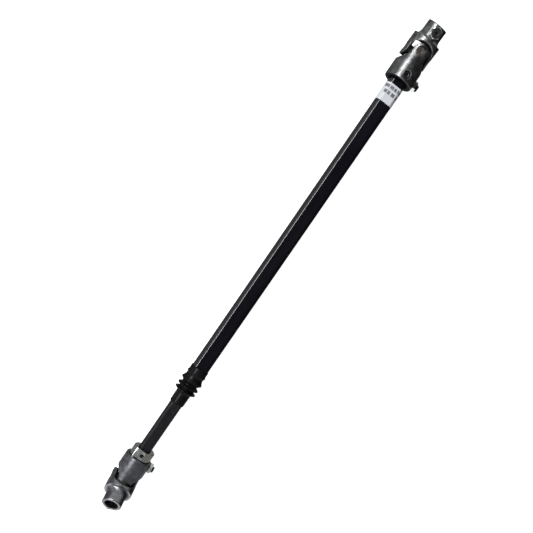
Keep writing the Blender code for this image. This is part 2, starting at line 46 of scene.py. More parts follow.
# Sizes of the CAD model that the finished pieces share with it
YOKE_RADIUS = 20.6 * MM
YOKE_LENGTH = 42.5 * MM
END_YOKE_LENGTH = 43.8 * MM
HUB_RADIUS = 14.5 * MM
HUB_STEP_RADIUS = 18.0 * MM
HUB_STEP = 22.6 * MM
HUB_FILLET_END = 31.2 * MM
EDGE_CHAMFER = 0.8 * MM
EAR_HALF_WIDTH = 10.9 * MM
EAR_FLARE_START = 7.0 * MM
EAR_FLARE_END = 19.2 * MM
EAR_FLARE_POWER = 1.35
SLOT_HALF_WIDTH = 14.0 * MM
SLOT_BOTTOM = 17.0 * MM
SLOT_CORNER = 10.0 * MM
POCKET_RADIUS = 24.2 * MM
SPLINE_TEETH = 36
SPLINE_TIP_RADIUS = 9.9 * MM
SPLINE_ROOT_RADIUS = 10.5 * MM
NUT_SEAT_RADIUS = 8.9 * MM
NUT_SEAT_DEPTH = 0.65 * MM
CUP_RADIUS = 6.5 * MM
CUP_FACE = 18.9 * MM
CUP_MOUTH = 10.4 * MM
CUP_BORE_RADIUS = 5.7 * MM
CUP_FLOOR = 1.7 * MM
CUP_EDGE = 0.7 * MM
TRUNNION_RADIUS = 4.0 * MM
CROSS_BOSS_RADIUS = 6.2 * MM
CROSS_BOSS_REACH = 8.7 * MM
SEAL_THICKNESS = 1.1 * MM
TUBE_SECTION = (12.7 * MM, 10.15 * MM)
SHAFT_SECTION = (9.525 * MM, 7.1 * MM)
BAR_SEAT = 24.6 * MM
TUBE_END = 534.0 * MM
SHAFT_REACH = 371.0 * MM
MOUTH_RADIUS = 14.2 * MM
MOUTH_DEPTH = 4.0 * MM
COLLAR_RADIUS = 16.5 * MM
COLLAR_FLAT = 13.9 * MM
COLLAR_FLAT_TURN = radians(-15.0)
COLLAR_PROUD = 14.8 * MM
COLLAR_SEATED = 8.5 * MM
COLLAR_SCREW_RADIUS = 2.6 * MM
COLLAR_SCREW_HEIGHT = 7.2 * MM
COLLAR_SOCKET_ACROSS_FLATS = 2.4 * MM
LABEL_START = 50.5 * MM
LABEL_LENGTH = 26.6 * MM
BOOT_START = 520.5 * MM
BOOT_LENGTH = 62.0 * MM
SCREW_RADIUS = 4.76 * MM
THREAD_PITCH = 1.06 * MM            # 24 turns to the inch
THREAD_DEPTH = 0.55 * MM
THREAD_LEAD = 0.9 * MM              # chamfered length at each end of a set screw
SOCKET_ACROSS_FLATS = 4.76 * MM
SOCKET_DEPTH = 3.6 * MM
NUT_ACROSS_FLATS = 14.3 * MM
NUT_THICKNESS = 4.8 * MM
SCREW_PROUD = 3.0 * MM
RECESS = 2.4 * MM
FRONT_SCREW_ANGLE = radians(-6.0)
FRONT_SCREW_TIP = 11.4 * MM
UPPER_END_SCREW_ANGLE = radians(-85.0)
TUBE_SCREW_INSET = 9.0 * MM
SHAFT_SCREW_INSET = 7.0 * MM
UPPER_END_SCREW_INSET = 10.0 * MM
LOWER_END_SCREW_INSET = 8.5 * MM
GAP = 0.3 * MM

FINE = 192                          # facets round a yoke or a tube
MEDIUM = 96
COARSE = 64
SMALL = 48
VOXEL = 0.45 * MM                   # grain of the rounded forging blanks

# Camera, from the middle of the shaft's axis
CAMERA_ALONG = 13.3 * MM
CAMERA_HEIGHT = 0.904
CAMERA_TURN = (-6.97, 0.23, -55.28)
CAMERA_LENS = 43.1
CAMERA_SHIFT_Y = 0.15

# Studio
FLOOR_HALF_SIZE = 12.0
BACKGROUND_LEVEL = 0.97
KEY_ALONG = 0.23

JOINTS = {joint["name"]: joint for joint in frame["joints"]}
MOUNTS = {mount["name"]: mount for mount in frame["record"]["mounts"]}


# ---------------------------------------------------------------- frames of the joints

def frame_at(centre, ear_axis, hub_axis):
    """A matrix with X along a yoke's ears and Z along its hub."""
    side = hub_axis.cross(ear_axis)
    axes = Matrix((ear_axis, side, hub_axis)).transposed().to_4x4()
    return Matrix.Translation(centre) @ axes


UPPER_CENTRE = Vector(JOINTS["upper_cross_in_tube_yoke"]["pos_m"])
LOWER_CENTRE = Vector(JOINTS["lower_cross_in_shaft_yoke"]["pos_m"])
ALONG = (UPPER_CENTRE - LOWER_CENTRE).normalized()
FRONT = Vector(JOINTS["upper_cross_in_tube_yoke"]["axis"]).normalized()
RIGHT = FRONT.cross(ALONG).normalized() * -1
TUBE_FRAME = frame_at(UPPER_CENTRE, FRONT, -ALONG)
BAR_FRAME = frame_at(LOWER_CENTRE, FRONT, ALONG)
UPPER_END_FRAME = frame_at(UPPER_CENTRE, RIGHT, Vector(MOUNTS["upper_hub_face"]["axis"]).normalized())
LOWER_END_FRAME = frame_at(LOWER_CENTRE, RIGHT, Vector(MOUNTS["lower_hub_face"]["axis"]).normalized())


# ---------------------------------------------------------------- mesh building

def loft(name, rings, closed=False):
    """Skin rings of points, listed upwards and anticlockwise; closed joins the last to the first."""
    count = len(rings[0])
    vertices = [point for ring in rings for point in ring]
    pairs = [(level, level + 1) for level in range(len(rings) - 1)]
    if closed:
        pairs.append((len(rings) - 1, 0))
    faces = []
    for low, high in pairs:
        for i in range(count):
            j = (i + 1) % count
            faces.append((low * count + i, low * count + j, high * count + j, high * count + i))
    if not closed:
        faces.append(tuple(reversed(range(count))))
        faces.append(tuple(range(len(vertices) - count, len(vertices))))
    mesh = bpy.data.meshes.new(name)
    mesh.from_pydata(vertices, [], faces)
    return bpy.data.objects.new(name, mesh)


def polar_ring(radius_at, height, steps):
    """A ring whose radius is a function of the angle."""
    angles = [2 * pi * i / steps for i in range(steps)]
    return [(radius_at(a) * cos(a), radius_at(a) * sin(a), height) for a in angles]


def lathe(name, profile, steps=MEDIUM, closed=False):
    """Turn (radius, height) points about Z, listed upwards on the outer side."""
    rings = [polar_ring(lambda a, r=radius: r, height, steps) for radius, height in profile]
    return loft(name, rings, closed)


def double_d(section, growth=0.0, turn=0.0, softness=36.0):
    """Radius as a function of angle for a round bar with two flats and softened corners."""
    radius = section[0] + growth
    flat = section[1] + growth

    def radius_at(angle):
        reach = radius * abs(cos(angle - turn)) / flat
        return radius * (1.0 + reach ** softness) ** (-1 / softness)
    return radius_at


def hexagon(across_flats, turn=0.0):
    """Radius as a function of angle for a regular hexagon."""
    def radius_at(angle):
        return across_flats / 2 / cos((angle - turn + pi / 6) % (pi / 3) - pi / 6)
    return radius_at


def slab(name, outline, half, plane):
    """A plate of half thickness either way, from an outline in YZ or in XZ."""
    if plane == "YZ":
        rings = [[(x, a, b) for a, b in outline] for x in (-half, half)]
    else:
        rings = [[(a, y, b) for a, b in outline] for y in (half, -half)]
    return loft(name, rings)


def arc(centre, radii, start, end, count):
    """Points on an elliptical arc, both ends included."""
    angles = [start + (end - start) * i / count for i in range(count + 1)]
    return [(centre[0] + radii[0] * cos(a), centre[1] + radii[1] * sin(a)) for a in angles]


def curve_through(points, parts):
    """A smooth Catmull-Rom curve through points, each span in equal parts."""
    result = []
    for i in range(len(points) - 1):
        before = Vector(points[max(i - 1, 0)])
        start = Vector(points[i])
        end = Vector(points[i + 1])
        after = Vector(points[min(i + 2, len(points) - 1)])
        for k in range(parts):
            t = k / parts
            slope = end - before
            square = 2 * before - 5 * start + 4 * end - after
            cube = 3 * start - before - 3 * end + after
            result.append(tuple(0.5 * (2 * start + slope * t + square * t ** 2 + cube * t ** 3)))
    result.append(tuple(points[-1]))
    return result


def face_outwards(obj):
    """Turn every face of a closed mesh outwards."""
    work = bmesh.new()
    work.from_mesh(obj.data)
    bmesh.ops.recalc_face_normals(work, faces=work.faces)
    work.to_mesh(obj.data)
    work.free()
    return obj


def evaluated(obj):
    """The object's mesh with its modifiers, as a new object; the old one is removed."""
    scene = bpy.context.scene.collection
    if obj.name not in scene.objects:
        scene.objects.link(obj)
    bpy.context.view_layer.update()
    graph = bpy.context.evaluated_depsgraph_get()
    mesh = bpy.data.meshes.new_from_object(obj.evaluated_get(graph))
    name = obj.name
    bpy.data.objects.remove(obj)
    mesh.name = name
    return bpy.data.objects.new(name, mesh)


def combined(obj, tools, operation="DIFFERENCE", solver="MANIFOLD"):
    """Cut, trim or join a solid with each of the tools in turn."""
    scene = bpy.context.scene.collection
    for tool in tools:
        face_outwards(tool)
        scene.objects.link(tool)
        boolean = obj.modifiers.new(tool.name, "BOOLEAN")
        boolean.object = tool
        boolean.operation = operation
        boolean.solver = solver
    result = evaluated(obj)
    for tool in tools:
        bpy.data.objects.remove(tool)
    return result


def moved(obj, matrix):
    """Move a mesh within its object."""
    obj.data.transform(matrix)
    return obj


def radial(angle, height):
    """A frame whose Z axis points straight out of the local Z axis at this angle and height."""
    turn = Matrix.Rotation(angle, 4, "Z") @ Matrix.Rotation(pi / 2, 4, "Y")
    return Matrix.Translation((0.0, 0.0, height)) @ turn


def rounded(obj, voxel, rounds):
    """Remesh a blank and relax it, which rounds its edges as forging does."""
    remesh = obj.modifiers.new("remesh", "REMESH")
    remesh.mode = "VOXEL"
    remesh.voxel_size = voxel
    relax = obj.modifiers.new("relax", "SMOOTH")
    relax.factor = 0.5
    relax.iterations = rounds
    return evaluated(obj)


def keep_local_place(mesh):
    """Store where each vertex lies in its joint's frame, for the materials to follow."""
    place = mesh.attributes.new("local", "FLOAT_VECTOR", "POINT")
    values = [0.0] * (3 * len(mesh.vertices))
    mesh.vertices.foreach_get("co", values)
    place.data.foreach_set("vector", values)


def finish_piece(obj, place, body, material, nodes=(), sharp=30.0):
    """Put a piece in place, shade it, and make it ride on its body in place of its CAD nodes."""
    bpy.context.scene.collection.objects.link(obj)
    keep_local_place(obj.data)
    obj.data.transform(place)
    obj.data.materials.clear()
    obj.data.materials.append(material)
    obj.data.shade_smooth()
    obj.data.set_sharp_from_angle(angle=radians(sharp))
    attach(obj, body)
    if nodes:
        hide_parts(*nodes)
    return obj


# ---------------------------------------------------------------- materials

class Recipe:
    """A small helper that adds nodes to one Principled material."""

    def __init__(self, name, colour, roughness, metallic, **inputs):
        self.material = bpy.data.materials.new(name)
        self.material.use_nodes = True
        self.tree = self.material.node_tree
        self.shader = self.tree.nodes["Principled BSDF"]
        self.shader.inputs["Base Color"].default_value = (*colour, 1.0)
        self.shader.inputs["Roughness"].default_value = roughness
        self.shader.inputs["Metallic"].default_value = metallic
        for label, value in inputs.items():
            self.shader.inputs[label.replace("_", " ")].default_value = value
        attribute = self.tree.nodes.new("ShaderNodeAttribute")
        attribute.attribute_name = "local"
        self.place = attribute.outputs["Vector"]
        self.height = None

    def link(self, out, to):
        """Join an output to an input."""
        self.tree.links.new(out, to)

    def stretched(self, scale):
        """The local coordinates, scaled unequally."""
        node = self.tree.nodes.new("ShaderNodeMapping")
        node.inputs["Scale"].default_value = scale
        self.link(self.place, node.inputs["Vector"])
        return node.outputs["Vector"]

    def noise(self, scale, detail=3.0, roughness=0.55, place=None, distortion=0.0):
        """Fractal noise with this many cells to the metre."""
        node = self.tree.nodes.new("ShaderNodeTexNoise")
        node.inputs["Scale"].default_value = scale
        node.inputs["Detail"].default_value = detail
        node.inputs["Roughness"].default_value = roughness
        node.inputs["Distortion"].default_value = distortion
        self.link(place or self.place, node.inputs["Vector"])
        return node.outputs["Fac"]

    def ramp(self, value, stops):
        """Map a value to colours or greys through (position, colour) stops."""
        node = self.tree.nodes.new("ShaderNodeValToRGB")
        ramp = node.color_ramp
        while len(ramp.elements) < len(stops):
            ramp.elements.new(0.5)
        for element, (position, colour) in zip(ramp.elements, stops):
            element.position = position
            element.color = (*colour, 1.0) if isinstance(colour, tuple) else (colour, colour, colour, 1.0)
        self.link(value, node.inputs["Fac"])
        return node.outputs["Color"]

    def math(self, operation, a, b):
        """One arithmetic step on values or numbers."""
        node = self.tree.nodes.new("ShaderNodeMath")
        node.operation = operation
        for socket, value in zip(node.inputs, (a, b)):
            if isinstance(value, (int, float)):
                socket.default_value = value
            else:
                self.link(value, socket)
        return node.outputs["Value"]

    def mix(self, factor, a, b, blend="MIX"):
        """Mix two colours."""
        node = self.tree.nodes.new("ShaderNodeMix")
        node.data_type = "RGBA"
        node.blend_type = blend
        for socket, value in zip((node.inputs["Factor"], node.inputs[6], node.inputs[7]), (factor, a, b)):
            if isinstance(value, (int, float)):
                socket.default_value = value
            elif isinstance(value, tuple):
                socket.default_value = (*value, 1.0)
            else:
                self.link(value, socket)
        return node.outputs[2]

    def step(self, value, start, end):
        """A smooth rise from 0 at start to 1 at end."""
        node = self.tree.nodes.new("ShaderNodeMapRange")
        node.interpolation_type = "SMOOTHSTEP"
        node.inputs["From Min"].default_value = start
        node.inputs["From Max"].default_value = end
        self.link(value, node.inputs["Value"])
        return node.outputs["Result"]

    def bump(self, value, strength, distance):
        """Add a height to the surface."""
        node = self.tree.nodes.new("ShaderNodeBump")
        node.inputs["Strength"].default_value = strength
        node.inputs["Distance"].default_value = distance
        self.link(value, node.inputs["Height"])
        if self.height is not None:
            self.link(self.height, node.inputs["Normal"])
        self.height = node.outputs["Normal"]
        self.link(self.height, self.shader.inputs["Normal"])

    def colour(self, value):
        """Drive the shader's base colour."""
        self.link(value, self.shader.inputs["Base Color"])

    def roughness(self, value):
        """Drive the shader's roughness."""
        self.link(value, self.shader.inputs["Roughness"])


def worn_edges(recipe, colour, bright, amount):
    """Lighten the sharp outer edges, where handling has polished them."""
    geometry = recipe.tree.nodes.new("ShaderNodeNewGeometry")
    edge = recipe.ramp(geometry.outputs["Pointiness"], [(0.515, 0.0), (0.58, 1.0)])
    broken = recipe.math("MULTIPLY", edge, recipe.noise(420.0, 4.0))
    return recipe.mix(recipe.math("MULTIPLY", broken, amount), colour, bright)


def forged_steel(name, dark, light, core, top=HUB_STEP):
    """Machined forging with turning lines; painted shade in its recesses and within the core radius."""
    recipe = Recipe(name, light, 0.36, 1.0)
    clouds = recipe.noise(120.0, 5.0, 0.7)
    tone = recipe.ramp(clouds, [(0.41, dark), (0.6, light)])
    turning = recipe.noise(60.0, 3.0, 0.5, recipe.stretched((0.6, 0.6, 55.0)))
    tone = recipe.mix(0.22, tone, recipe.ramp(turning, [(0.35, 0.25), (0.65, 0.9)]), "OVERLAY")
    grain = recipe.noise(1900.0, 2.0, 0.6)
    tone = worn_edges(recipe, tone, (0.5, 0.51, 0.54), 0.35)
    split = recipe.tree.nodes.new("ShaderNodeSeparateXYZ")
    recipe.link(recipe.place, split.inputs["Vector"])
    flat = recipe.tree.nodes.new("ShaderNodeCombineXYZ")
    recipe.link(split.outputs["X"], flat.inputs["X"])
    recipe.link(split.outputs["Y"], flat.inputs["Y"])
    length = recipe.tree.nodes.new("ShaderNodeVectorMath")
    length.operation = "LENGTH"
    recipe.link(flat.outputs["Vector"], length.inputs[0])
    # Painted shade mask: surfaces sunk below the body's outer radius under the top height (slot walls, ear rims,
    # recesses), and the bore within the core radius near its mouth.
    deep = recipe.step(length.outputs["Value"], YOKE_RADIUS - 0.45 * MM, YOKE_RADIUS - 0.9 * MM)
    low = recipe.step(split.outputs["Z"], top - 0.1 * MM, top - 0.5 * MM)
    bore_shade = recipe.step(length.outputs["Value"], core + 0.1 * MM, core - 0.3 * MM)
    bore_shade = recipe.math("MULTIPLY", bore_shade, recipe.step(split.outputs["Z"], END_YOKE_LENGTH - 0.9 * MM,
                                                       END_YOKE_LENGTH - 1.5 * MM))
    inside = recipe.math("MAXIMUM", recipe.math("MULTIPLY", deep, low), bore_shade)
    # Painted shade: the masked surfaces take 0.16 of the dark tone, standing in for the shadow inside them, and
    # are made rougher.
    recipe.colour(recipe.mix(inside, tone, tuple(0.16 * c for c in dark)))
    rough = recipe.mix(0.5, recipe.ramp(clouds, [(0.3, 0.28), (0.7, 0.4)]),
                       recipe.ramp(grain, [(0.3, 0.28), (0.7, 0.42)]))
    recipe.roughness(recipe.mix(inside, rough, (0.62, 0.62, 0.62)))
    recipe.bump(turning, 0.22, 0.00012)
    recipe.bump(grain, 0.16, 0.00010)
    return recipe.material


def satin_paint(name, colour, roughness):
    """Black chassis paint: slight orange peel, dust specks and rubbed patches."""
    recipe = Recipe(name, colour, roughness, 0.0, Specular_IOR_Level=0.15, Coat_Weight=1.0, Coat_IOR=1.75,
                    Coat_Roughness=0.07)
    peel = recipe.noise(700.0, 2.0)
    patches = recipe.noise(38.0, 5.0, 0.65, recipe.stretched((1.0, 1.0, 0.25)))
    lighter = tuple(1.5 * c + 0.001 for c in colour)
    tone = recipe.ramp(patches, [(0.42, colour), (0.74, lighter)])
    specks = recipe.ramp(recipe.noise(1500.0, 1.0), [(0.70, 0.0), (0.78, 1.0)])
    recipe.colour(recipe.mix(recipe.math("MULTIPLY", specks, 0.06), tone, (0.1, 0.1, 0.11)))
    recipe.roughness(recipe.ramp(patches, [(0.3, roughness - 0.05), (0.75, roughness + 0.12)]))
    recipe.bump(peel, 0.05, 0.00002)
    return recipe.material


def drawn_steel(name, colour):
    """Cold-drawn bar with lengthwise die lines and an oily dark film."""
    recipe = Recipe(name, colour, 0.38, 0.75)
    lines = recipe.noise(1400.0, 3.0, 0.6, recipe.stretched((1.0, 1.0, 0.012)))
    film = recipe.noise(60.0, 4.0)
    lighter = tuple(2.2 * c for c in colour)
    tone = recipe.ramp(lines, [(0.35, colour), (0.7, lighter)])
    recipe.colour(recipe.mix(0.3, tone, recipe.ramp(film, [(0.4, 0.02), (0.7, 0.09)])))
    recipe.roughness(recipe.ramp(film, [(0.3, 0.3), (0.7, 0.46)]))
    recipe.bump(lines, 0.15, 0.00008)
    return recipe.material


def zinc_plate(name, shade):
    """Bright zinc: cool and faintly green or yellow patches, fine tool marks, small dull spots."""
    recipe = Recipe(name, (0.76, 0.79, 0.74), 0.2, 1.0)
    patches = recipe.noise(160.0, 3.0)
    hues = ((0.34, (0.58, 0.64, 0.64)), (0.5, (0.76, 0.8, 0.76)), (0.68, (0.82, 0.83, 0.72)))
    # Every hue is scaled by shade; a shade below 1 paints shade into a darker copy of the same plating.
    tone = recipe.ramp(patches, [(place, tuple(shade * c for c in hue)) for place, hue in hues])
    marks = recipe.noise(380.0, 2.0, 0.5, recipe.stretched((0.3, 0.3, 14.0)))
    spots = recipe.ramp(recipe.noise(1300.0, 2.0), [(0.66, 0.0), (0.74, 1.0)])
    recipe.colour(recipe.mix(recipe.math("MULTIPLY", spots, 0.4), tone, (0.4, 0.42, 0.4)))
    recipe.roughness(recipe.ramp(patches, [(0.3, 0.15), (0.7, 0.24)]))
    recipe.bump(marks, 0.08, 0.00004)
    return recipe.material


def black_oxide(name):
    """Blackened alloy steel with a grey sheen where it is rubbed."""
    recipe = Recipe(name, (0.02, 0.02, 0.023), 0.4, 0.85)
    rub = recipe.noise(700.0, 4.0)
    tone = recipe.ramp(rub, [(0.4, (0.014, 0.014, 0.016)), (0.75, (0.06, 0.06, 0.066))])
    recipe.colour(worn_edges(recipe, tone, (0.22, 0.22, 0.24), 0.6))
    recipe.roughness(recipe.ramp(rub, [(0.3, 0.32), (0.7, 0.5)]))
    recipe.bump(recipe.noise(2400.0, 2.0), 0.1, 0.00006)
    return recipe.material


def bearing_steel(name):
    """Case-hardened cup: brown-grey heat tint with rings left by turning its end."""
    recipe = Recipe(name, (0.2, 0.18, 0.17), 0.42, 0.9)
    tint = recipe.noise(230.0, 3.0)
    tone = recipe.ramp(tint, [(0.35, (0.15, 0.134, 0.126)), (0.65, (0.27, 0.24, 0.222))])
    grain = recipe.noise(2600.0, 2.0)
    recipe.colour(recipe.mix(0.2, tone, recipe.ramp(grain, [(0.35, 0.05), (0.7, 0.3)])))
    recipe.roughness(recipe.ramp(tint, [(0.3, 0.36), (0.7, 0.52)]))
    recipe.bump(grain, 0.12, 0.00008)
    return recipe.material


def ground_steel(name):
    """Ground rollers, bright under a film of grease."""
    recipe = Recipe(name, (0.55, 0.55, 0.56), 0.22, 1.0)
    lines = recipe.noise(900.0, 2.0, 0.5, recipe.stretched((1.0, 1.0, 0.05)))
    recipe.colour(recipe.ramp(lines, [(0.3, 0.42), (0.7, 0.62)]))
    recipe.bump(lines, 0.1, 0.00005)
    return recipe.material


def moulded_rubber(name, colour):
    """Black rubber: a matt skin, dusty in places, with a fine moulded grain."""
    recipe = Recipe(name, colour, 0.5, 0.0, Specular_IOR_Level=0.12, Coat_Weight=0.16, Coat_Roughness=0.16)
    dust = recipe.noise(90.0, 5.0, 0.62)
    tone = recipe.ramp(dust, [(0.4, colour), (0.8, tuple(c + 0.006 for c in colour))])
    recipe.colour(tone)
    recipe.roughness(recipe.ramp(dust, [(0.3, 0.4), (0.75, 0.62)]))
    recipe.bump(recipe.noise(1500.0, 3.0), 0.12, 0.00010)
    return recipe.material


def label_vinyl(name):
    """White band with two rows of plain grey blocks and no lettering."""
    recipe = Recipe(name, (0.8, 0.81, 0.84), 0.42, 0.0)
    split = recipe.tree.nodes.new("ShaderNodeSeparateXYZ")
    recipe.link(recipe.place, split.inputs["Vector"])
    along = split.outputs["Z"]
    across = recipe.math("MULTIPLY", split.outputs["Y"], -1.0)

    def band(value, low, high):
        above = recipe.math("GREATER_THAN", value, low)
        below = recipe.math("LESS_THAN", value, high)
        return recipe.math("MULTIPLY", above, below)

    rows = [(3.0, 7.4, [(-12.3, -6.9), (-5.4, 0.1), (1.0, 4.8), (6.0, 8.2), (9.3, 11.9)]),
            (10.6, 15.4, [(-10.2, -6.3), (-5.2, -1.2), (0.9, 6.2), (8.5, 11.9)])]
    ink = None
    for low, high, blocks in rows:
        for left, right in blocks:
            row = band(along, LABEL_START + low * MM, LABEL_START + high * MM)
            block = recipe.math("MULTIPLY", row, band(across, left * MM, right * MM))
            ink = block if ink is None else recipe.math("MAXIMUM", ink, block)
    fade = recipe.ramp(recipe.noise(520.0, 3.0), [(0.3, 0.62), (0.7, 1.0)])
    paper = recipe.ramp(recipe.noise(70.0, 4.0), [(0.3, (0.68, 0.71, 0.76)), (0.7, (0.74, 0.76, 0.8))])
    recipe.colour(recipe.mix(recipe.math("MULTIPLY", ink, fade), paper, (0.07, 0.065, 0.075)))
    recipe.roughness(recipe.ramp(recipe.noise(300.0, 2.0), [(0.3, 0.36), (0.7, 0.5)]))
    recipe.bump(recipe.noise(800.0, 2.0), 0.06, 0.00008)
    return recipe.material


UPPER_END_STEEL = forged_steel("upper_end_yoke_steel", (0.14, 0.148, 0.145), (0.29, 0.295, 0.295), 11.2 * MM)
TUBE_YOKE_STEEL = forged_steel("tube_yoke_steel", (0.15, 0.156, 0.158), (0.31, 0.312, 0.318), 15.2 * MM,
                               60 * MM)
SHAFT_YOKE_STEEL = forged_steel("shaft_yoke_steel", (0.135, 0.141, 0.156), (0.23, 0.236, 0.256), 17.3 * MM)
LOWER_END_STEEL = forged_steel("lower_end_yoke_steel", (0.18, 0.185, 0.2), (0.35, 0.355, 0.375), 10.7 * MM)
TUBE_PAINT = satin_paint("tube_satin_paint", (0.0035, 0.0035, 0.0065), 0.34)
BAR_STEEL = drawn_steel("bar_drawn_steel", (0.022, 0.022, 0.027))
ZINC = zinc_plate("zinc_plate", 1.0)
# Painted shade: the collar's zinc is the same plating at about half brightness, darkened for the dimmer light that
# falls on it.
SHADED_ZINC = zinc_plate("shaded_zinc_plate", 0.52)
OXIDE = black_oxide("black_oxide")
BEARING = bearing_steel("bearing_steel")
ROLLER = ground_steel("roller_steel")
RUBBER = moulded_rubber("boot_rubber", (0.002, 0.002, 0.003))
SEAL_RUBBER = moulded_rubber("seal_rubber", (0.008, 0.008, 0.009))
VINYL = label_vinyl("label_vinyl")


# ---------------------------------------------------------------- yokes

def ear_outline():
    """Side view of the fork in (Y, Z): round tips that flare out to the full body."""
    tip = arc((0.0, 0.0), (EAR_HALF_WIDTH, EAR_HALF_WIDTH), -pi, 0.0, 40)
    full = YOKE_RADIUS + GAP
    rise = EAR_FLARE_END - EAR_FLARE_START
    flare = []
    for i in range(25):
        share = i / 24
        width = EAR_HALF_WIDTH + (full - EAR_HALF_WIDTH) * share ** EAR_FLARE_POWER
        flare.append((width, EAR_FLARE_START + rise * share))
    wide = full + 1 * MM
    right = flare + [(wide, EAR_FLARE_END), (wide, END_YOKE_LENGTH + 2 * MM)]
    left = [(-x, y) for x, y in reversed(right)]
    return tip[1:-1] + right + left


def slot_outline():
    """Front view of the gap between the ears in (X, Z): square mouth and round bottom corners."""
    low = -EAR_HALF_WIDTH - 2 * MM
    inner = SLOT_HALF_WIDTH - SLOT_CORNER
    corner = arc((inner, SLOT_BOTTOM - SLOT_CORNER), (SLOT_CORNER, SLOT_CORNER), 0.0, pi / 2, 20)
    mirrored = [(-x, y) for x, y in reversed(corner)]
    return [(SLOT_HALF_WIDTH, low)] + corner + mirrored + [(-SLOT_HALF_WIDTH, low)]


def forging(name, profile):
    """A rounded fork blank: turned body, flared ears, slot and the mating yoke's pocket."""
    wide = YOKE_RADIUS + 3 * MM
    blank = lathe(name, profile, FINE)
    blank = combined(blank, [slab(name + "_ears", ear_outline(), wide, "YZ")], "INTERSECT", "EXACT")
    stations = [SLOT_HALF_WIDTH * (i / 12 - 1) for i in range(25)]
    barrel = [(sqrt(POCKET_RADIUS ** 2 - x ** 2), x) for x in stations]
    pocket = moved(lathe(name + "_pocket", barrel, MEDIUM), Matrix.Rotation(pi / 2, 4, "Y"))
    blank = combined(blank, [slab(name + "_slot", slot_outline(), wide, "XZ"), pocket], "DIFFERENCE", "EXACT")
    return rounded(blank, VOXEL, 4)


def end_yoke_profile():
    """Upwards: fork, square step, concave fillet and narrow hub."""
    fillet = arc((HUB_STEP_RADIUS, HUB_FILLET_END),
                 (HUB_STEP_RADIUS - HUB_RADIUS, HUB_FILLET_END - HUB_STEP), 1.5 * pi, pi, 20)
    return [(YOKE_RADIUS, -EAR_HALF_WIDTH - MM), (YOKE_RADIUS, HUB_STEP), *fillet,
            (HUB_RADIUS, END_YOKE_LENGTH - EDGE_CHAMFER), (HUB_RADIUS - EDGE_CHAMFER, END_YOKE_LENGTH)]


def full_yoke_profile(lip):
    """Upwards: one diameter to the open face, with a rounded lip."""
    edge = arc((YOKE_RADIUS - lip, YOKE_LENGTH - lip), (lip, lip), 0.0, pi / 2, 8)
    return [(YOKE_RADIUS, -EAR_HALF_WIDTH - MM), *edge]


def ear_bores(name):
    """Cutter for both ears: a bore for the cup and a shallow recess round it."""
    bore = CUP_RADIUS + 0.12 * MM
    recess = CUP_RADIUS + 0.75 * MM
    recess_floor = YOKE_RADIUS - 1.35 * MM
    reach = YOKE_RADIUS + 3 * MM
    profile = [(recess, -reach), (recess, -recess_floor), (bore, -recess_floor - 0.01 * MM),
               (bore, recess_floor + 0.01 * MM), (recess, recess_floor), (recess, reach)]
    return moved(lathe(name, profile, MEDIUM), Matrix.Rotation(pi / 2, 4, "Y"))


def screw_hole(name, angle, height, inner, surface, seat=None, sink=0.7 * MM):
    """Cutters for a threaded hole with a countersunk edge, and a flat seat for its nut."""
    radius = SCREW_RADIUS + 0.06 * MM
    profile = [(radius, inner), (radius, surface - sink), (radius + 2 * sink, surface + sink),
               (radius + 2 * sink, 2 * YOKE_RADIUS)]
    tools = [moved(lathe(name + "_hole", profile, MEDIUM), radial(angle, height))]
    if seat is not None:
        spot = lathe(name + "_seat", [(NUT_SEAT_RADIUS, seat), (NUT_SEAT_RADIUS, 2 * YOKE_RADIUS)])
        tools.append(moved(spot, radial(angle, height)))
    return tools


def splined_bore(name):
    """Cutters for a serrated bore and its lead-in chamfer."""
    def tooth(angle):
        wave = abs((angle * SPLINE_TEETH / (2 * pi)) % 1.0 - 0.5) * 2
        return SPLINE_TIP_RADIUS + (SPLINE_ROOT_RADIUS - SPLINE_TIP_RADIUS) * wave
    steps = SPLINE_TEETH * 4
    low = SLOT_BOTTOM - 4 * MM
    serrations = loft(name, [polar_ring(tooth, z, steps) for z in (low, END_YOKE_LENGTH + MM)])
    lead = lathe(name + "_lead_in", [(SPLINE_TIP_RADIUS - 1.2 * MM, END_YOKE_LENGTH - 1.8 * MM),
                                     (SPLINE_ROOT_RADIUS + 0.5 * MM, END_YOKE_LENGTH + 0.3 * MM)])
    return [serrations, lead]


def machined(name, blank, tools):
    """Cut the machined features out of a copy of a forging."""
    yoke = bpy.data.objects.new(name, blank.data.copy())
    return combined(yoke, tools)


def end_yoke(prefix, place, blank, steel, screw_angle, screw_height):
    """Splined end yoke with its bearings, set screw and jam nut."""
    name = prefix + "_end_yoke"
    body = prefix + "_end"
    seat = HUB_RADIUS - NUT_SEAT_DEPTH
    tools = splined_bore(name + "_splines") + [ear_bores(name + "_ear_bores")]
    tools += screw_hole(name, screw_angle, screw_height, SPLINE_TIP_RADIUS - 3 * MM, seat, seat)
    yoke = machined(name + "_body", blank, tools)
    finish_piece(yoke, place, body, steel, [name])
    bearings(name, place, body)
    outer = seat + GAP + NUT_THICKNESS + SCREW_PROUD
    set_screw(name + "_set_screw", place, body, screw_angle, screw_height, SPLINE_ROOT_RADIUS, outer)
    jam_nut(name + "_jam_nut", place, body, screw_angle, screw_height, seat + 0.05 * MM)


